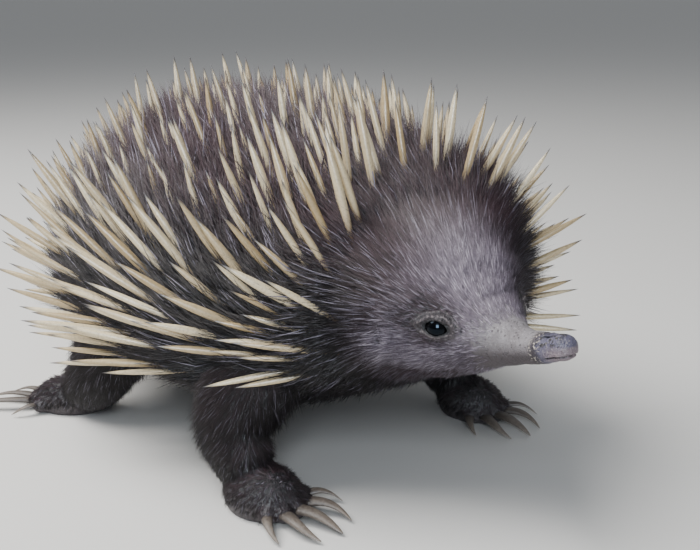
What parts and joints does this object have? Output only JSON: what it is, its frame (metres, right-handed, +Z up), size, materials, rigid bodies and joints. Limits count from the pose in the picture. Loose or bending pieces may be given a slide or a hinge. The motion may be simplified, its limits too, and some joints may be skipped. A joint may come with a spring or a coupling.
{
  "type": "echidna figure",
  "caption": "Still, life-size short-beaked echidna standing with its beak raised: a spiny coat, a bare tubular beak and broad digging claws, for display.",
  "frame": {"origin": "on the floor, under the middle of the whole animal's box", "axes": "+X forward along the body, to the beak; +Y the animal's left; +Z up"},
  "size_m": [0.3468, 0.2298, 0.1848],
  "materials": {
    "spiny_coat": "straw-coloured horny spines over dark brown fur",
    "coat": "short dark brown fur",
    "bare_skin": "bare grey-brown skin, finely creased",
    "horn": "worn dark horn",
    "eye": "glossy black"
  },
  "bodies": {
    "root": {"torso": "spiny_coat", "neck": "spiny_coat", "tail": "spiny_coat", "head": "coat", "beak": "bare_skin", "eye_left": "eye", "eye_right": "eye", "ear_left": "bare_skin", "ear_right": "bare_skin", "foreleg_left": "coat", "foreleg_right": "coat", "hindleg_left": "coat", "hindleg_right": "coat", "forefoot_left": "bare_skin", "forefoot_right": "bare_skin", "hindfoot_left": "bare_skin", "hindfoot_right": "bare_skin", "forefoot_left_claw_1": "horn", "forefoot_left_claw_2": "horn", "forefoot_left_claw_3": "horn", "forefoot_left_claw_4": "horn", "forefoot_left_claw_5": "horn", "forefoot_right_claw_1": "horn", "forefoot_right_claw_2": "horn", "forefoot_right_claw_3": "horn", "forefoot_right_claw_4": "horn", "forefoot_right_claw_5": "horn", "hindfoot_left_claw_1": "horn", "hindfoot_left_claw_2": "horn", "hindfoot_left_claw_3": "horn", "hindfoot_left_claw_4": "horn", "hindfoot_left_claw_5": "horn", "hindfoot_right_claw_1": "horn", "hindfoot_right_claw_2": "horn", "hindfoot_right_claw_3": "horn", "hindfoot_right_claw_4": "horn", "hindfoot_right_claw_5": "horn"}
  },
  "joints": []
}
